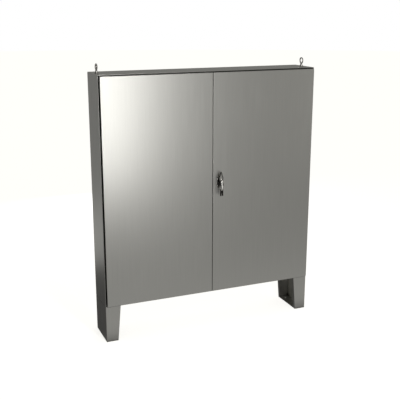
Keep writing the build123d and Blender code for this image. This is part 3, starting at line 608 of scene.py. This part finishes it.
def makeLiftingEyes():
    v = liftingEye
    ring, wire, neck, foot, collar, high = inMetres(v, "ringMm", "wireMm", "neckMm", "neckFootMm", "collarMm",
                                                    "collarHighMm")
    x, y = middleOf("left_lifting_eye").xy
    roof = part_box("top_panel")[1].z
    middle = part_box("left_lifting_eye")[1].z - ring - wire
    rise = middle - ring - roof
    piece = joined(
        "leftLiftingEye",
        begin("primitive_torus_add", "ring", major_radius=ring, minor_radius=wire, major_segments=64,
              minor_segments=24, rotation=(0, math.pi / 2, 0), location=(x, y, middle)),
        begin("primitive_cone_add", "neck", vertices=48, radius1=foot, radius2=neck, depth=rise,
              location=(x, y, roof + rise / 2)),
        begin("primitive_cylinder_add", "collar", vertices=48, radius=collar, depth=high,
              location=(x, y, roof + high / 2)))
    castTogether(piece, v["gritMm"], v["smoothRounds"])
    piece = joined("leftLiftingEye", piece, makeThread(x, y, roof))
    cleaned(piece)
    smoothed(piece)
    twin = copied(piece, "rightLiftingEye", (-2 * x, 0, 0))
    standsFor(piece, polished, "enclosure", "polished_stainless", "left_lifting_eye")
    standsFor(twin, polished, "enclosure", "polished_stainless", "right_lifting_eye")


# door seal: one poured bead with a flat foot and a round back, turned in a small radius at the corners
sealBead = {"widthMm": 12.0, "cornerMm": 18.0, "cornerSteps": 8, "roundSteps": 5,
            "standShare": 0.75}     # share of the round bead that stands above its foot


def makeSeal(side):
    v = sealBead
    width, corner = inMetres(v, "widthMm", "cornerMm")
    low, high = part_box(side + "_door_gasket")
    middle = (low + high) / 2
    piece = begin("primitive_plane_add", side + "DoorSeal", size=1.0, rotation=(math.pi / 2, 0, 0),
                  location=middle)
    openAll(piece)
    bpy.ops.transform.resize(value=(high.x - low.x - width, 1, high.z - low.z - width),
                             center_override=middle)
    bpy.ops.mesh.bevel(affect="VERTICES", offset=corner, segments=v["cornerSteps"])
    bpy.ops.mesh.delete(type="ONLY_FACE")
    close()
    bpy.ops.object.convert(target="CURVE")
    piece.data.bevel_depth = width / 2
    piece.data.bevel_resolution = v["roundSteps"]
    piece.data.fill_mode = "FULL"
    bpy.ops.object.convert(target="MESH")
    foot, back = low.y, high.y
    openAll(piece)
    squeeze = (back - foot) / (width * v["standShare"])
    bpy.ops.transform.resize(value=(1, squeeze, 1), center_override=middle)
    bpy.ops.transform.translate(value=(0, back - middle.y - width / 2 * squeeze, 0))
    close()
    pick(piece, "VERT", lambda spot, normal: spot.y < foot)
    bpy.ops.transform.resize(value=(1, 0, 1), center_override=(middle.x, foot, middle.z))
    close()
    cleaned(piece)
    smoothed(piece, 60.0)
    standsFor(piece, seal, side + "_door_body", "seal_rubber", side + "_door_gasket")


# document pocket: thin moulding with round corners and a scoop for the fingers
pocket = {"wallMm": 1.8, "cornerMm": 14.0, "cornerSteps": 6, "scoopMm": 70.0, "scoopDropMm": 34.0,
          "faceInsetMm": 1.2,       # how far the face lies behind the front of the space it has
          "cutterMm": 20.0, "edgeShare": 0.3, "edgeSteps": 2, "edgeDegrees": 60.0}


def roundedBox(name, low, high, radius, steps):
    # edges beside the back and the top stay square
    piece = block(name, low, high)
    pick(piece, "EDGE", lambda spot, along: spot.y > (low.y + high.y) / 2 and spot.z < high.z - nearMm / 1000)
    bpy.ops.mesh.bevel(offset=radius, segments=steps)
    close()
    return piece


def makePocket():
    v = pocket
    wall, corner, scoop, drop, inset, cutter = inMetres(v, "wallMm", "cornerMm", "scoopMm", "scoopDropMm",
                                                        "faceInsetMm", "cutterMm")
    low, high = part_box("document_pocket")
    shell = roundedBox("documentPocket", low, high - Vector((0, inset, 0)), corner, v["cornerSteps"])
    innerHigh = high + Vector((-wall, -wall - inset, cutter))
    inner = roundedBox("inner", low + Vector((wall, wall, wall)), innerHigh, corner - wall,
                       v["cornerSteps"])
    cutAway(shell, inner)
    x = (low.x + high.x) / 2
    finger = begin("primitive_cylinder_add", "finger", vertices=96, radius=scoop, depth=cutter,
                   rotation=(math.pi / 2, 0, 0), location=(x, high.y - inset, high.z + scoop - drop))
    cutAway(shell, finger)
    softEdges(shell, wall * v["edgeShare"], v["edgeSteps"], v["edgeDegrees"])
    cleaned(shell)
    smoothed(shell, 40.0)
    standsFor(shell, greyMoulded, "left_door_body", "pocket_plastic", "document_pocket")


brightLever = makeHandle()
makeLiftingEyes()
for side in ("left", "right"):
    makeSeal(side)
makePocket()
print("modelled pieces in place")


# studio

studio = {
    "backdrop": "#ffffff", "backdropStrength": 1.0, "backdropRadius": 60.0,
    "floorColor": "#f4f3f0", "floorRoughness": 0.9, "floorGlow": 0.86, "floorRadius": 40.0,
    "groundDrop": 0.01, "groundBlue": 0.98, "boardColor": "#fffefa",
    "worldColor": "#a2a29f", "worldStrength": 0.71,
    "keyPlace": (-0.1, -3.6, 2.07), "keyAim": (0.0, 0.0, 1.9), "keySize": (0.33, 3.2), "keyPower": 36.0,
    "rearPlace": (0.7, 4.6, 1.15), "rearAim": (0.4, 0.0, 1.2), "rearSize": (1.2, 1.7), "rearPower": 30.0,
    "leverPlace": (2.2, -2.4, 0.7), "leverAim": (0.06, -0.22, 1.2), "leverSize": (0.8, 1.2),
    "leverPower": 9.0,
}

# brightness of the ground that the steel mirrors, by its distance in metres behind (+) or before (-) it; the
# dark bands close before it and up to 1.45 m behind it are the cabinet's shadow, painted in
groundBands = [(-8.0, 0.30), (-2.2, 0.30), (-1.0, 0.38), (-0.35, 0.42), (-0.1, 0.10), (0.1, 0.075),
               (1.45, 0.07), (1.9, 0.42), (3.0, 0.46), (4.2, 0.30), (5.5, 0.26), (12.0, 0.26)]

# boards beside the camera that only reflections see: x, front y, back y, bottom z, top z, brightness
boards = {"leftFlag": (-3.2, -4.1, -0.3, 0.0, 3.2, 0.0), "rightCard": (3.6, -3.1, -1.6, 0.7, 2.8, 1.0)}


def stagePiece(name, kind, **how):
    bpy.ops.object.select_all(action="DESELECT")
    getattr(bpy.ops.mesh, kind)(**how)
    piece = bpy.context.object
    piece.name = name
    return piece


def seenOnlyBy(piece, camera=False, diffuse=False, glossy=False, shadow=False):
    piece.visible_camera = camera
    piece.visible_diffuse = diffuse
    piece.visible_glossy = glossy
    piece.visible_transmission = False
    piece.visible_volume_scatter = False
    piece.visible_shadow = shadow


def glowMaterial(name, hexColor, strength):
    material = bpy.data.materials.new(name)
    material.use_nodes = True
    tree = material.node_tree
    tree.nodes.clear()
    glow = addNode(tree, "ShaderNodeEmission", {"Color": toLinear(hexColor), "Strength": strength})
    addNode(tree, "ShaderNodeOutputMaterial", links={"Surface": glow.outputs["Emission"]})
    return material


def makeFloor():
    # pale floor that lifts itself nearly to white and still takes a soft shadow
    floor = stagePiece("floor", "primitive_circle_add", vertices=96, radius=studio["floorRadius"],
                       fill_type="NGON")
    material, tree, shader = newMaterial("paleFloor", studio["floorColor"], 0.0, studio["floorRoughness"])
    shader.inputs["Emission Color"].default_value = toLinear(studio["floorColor"])
    shader.inputs["Emission Strength"].default_value = studio["floorGlow"]
    shader.inputs["Specular IOR Level"].default_value = 0.0
    floor.data.materials.append(material)
    seenOnlyBy(floor, camera=True, diffuse=True, shadow=True)


def makeBackdrop():
    dome = stagePiece("backdrop", "primitive_uv_sphere_add", radius=studio["backdropRadius"], segments=48,
                      ring_count=24)
    dome.data.materials.append(glowMaterial("whiteBackdrop", studio["backdrop"], studio["backdropStrength"]))
    seenOnlyBy(dome, camera=True)


def makeGround():
    # the polished metal sees this banded grey ground, a painted floor with painted shadow, instead of the
    # white floor
    ground = stagePiece("groundCard", "primitive_circle_add", vertices=64, radius=studio["floorRadius"],
                        fill_type="NGON", location=(0, 0, -studio["groundDrop"]))
    material = glowMaterial("bandedGround", "#ffffff", 1.0)
    tree = material.node_tree
    first, last = groundBands[0][0], groundBands[-1][0]
    place = addNode(tree, "ShaderNodeTexCoord")
    apart = addNode(tree, "ShaderNodeSeparateXYZ", links={"Vector": place.outputs["Object"]})
    along = addNode(tree, "ShaderNodeMapRange", {"From Min": first, "From Max": last},
                    {"Value": apart.outputs["Y"]})
    ramp = addNode(tree, "ShaderNodeValToRGB", links={"Fac": along.outputs["Result"]})
    while len(ramp.color_ramp.elements) < len(groundBands):
        ramp.color_ramp.elements.new(1.0)
    for stop, (distance, brightness) in zip(ramp.color_ramp.elements, groundBands):
        stop.position = (distance - first) / (last - first)
        stop.color = (brightness, brightness, brightness * studio["groundBlue"], 1.0)
    tree.links.new(ramp.outputs["Color"], tree.nodes["Emission"].inputs["Color"])
    ground.data.materials.append(material)
    seenOnlyBy(ground, glossy=True)


def makeBoards():
    for name, (x, front, back, bottom, top, brightness) in boards.items():
        board = stagePiece(name, "primitive_plane_add", size=1.0, rotation=(0, math.pi / 2, 0),
                           location=(x, (front + back) / 2, (bottom + top) / 2))
        board.scale = (top - bottom, back - front, 1.0)
        board.data.materials.append(glowMaterial(name, studio["boardColor"], brightness))
        seenOnlyBy(board, glossy=True)


def makeWorld():
    world = bpy.data.worlds.new("studioGrey")
    bpy.context.scene.world = world
    world.use_nodes = True
    background = world.node_tree.nodes["Background"]
    background.inputs["Color"].default_value = toLinear(studio["worldColor"])
    background.inputs["Strength"].default_value = studio["worldStrength"]


def softbox(name, place, aim, size, power):
    data = bpy.data.lights.new(name, "AREA")
    data.shape = "RECTANGLE"
    data.size, data.size_y = size
    data.energy = power
    light = bpy.data.objects.new(name, data)
    bpy.context.scene.collection.objects.link(light)
    light.location = place
    light.rotation_euler = (Vector(aim) - Vector(place)).to_track_quat("-Z", "Y").to_euler()
    light.visible_camera = False
    return light


makeFloor()
makeBackdrop()
makeGround()
makeBoards()
makeWorld()
for name in ("key", "rear", "lever"):
    light = softbox(name + "Light", studio[name + "Place"], studio[name + "Aim"], studio[name + "Size"],
                    studio[name + "Power"])
leverOnly = bpy.data.collections.new("leverOnly")
leverOnly.objects.link(brightLever)
light.light_linking.receiver_collection = leverOnly      # the last one only picks out the polished lever

camera = {"place": (-2.2479, -5.3373, 2.6196), "yaw": 22.48, "pitch": -15.10, "lensMm": 64.65,
          "sensorMm": 36.0, "clipEnd": 200.0}


def makeCamera():
    data = bpy.data.cameras.new("camera")
    data.lens = camera["lensMm"]
    data.sensor_width = camera["sensorMm"]
    data.clip_end = camera["clipEnd"]
    eye = bpy.data.objects.new("camera", data)
    bpy.context.scene.collection.objects.link(eye)
    eye.location = camera["place"]
    eye.rotation_euler = (math.radians(90 + camera["pitch"]), 0.0, math.radians(-camera["yaw"]))
    bpy.context.scene.camera = eye


makeCamera()
bpy.context.scene.view_settings.view_transform = "Standard"
print("studio ready")
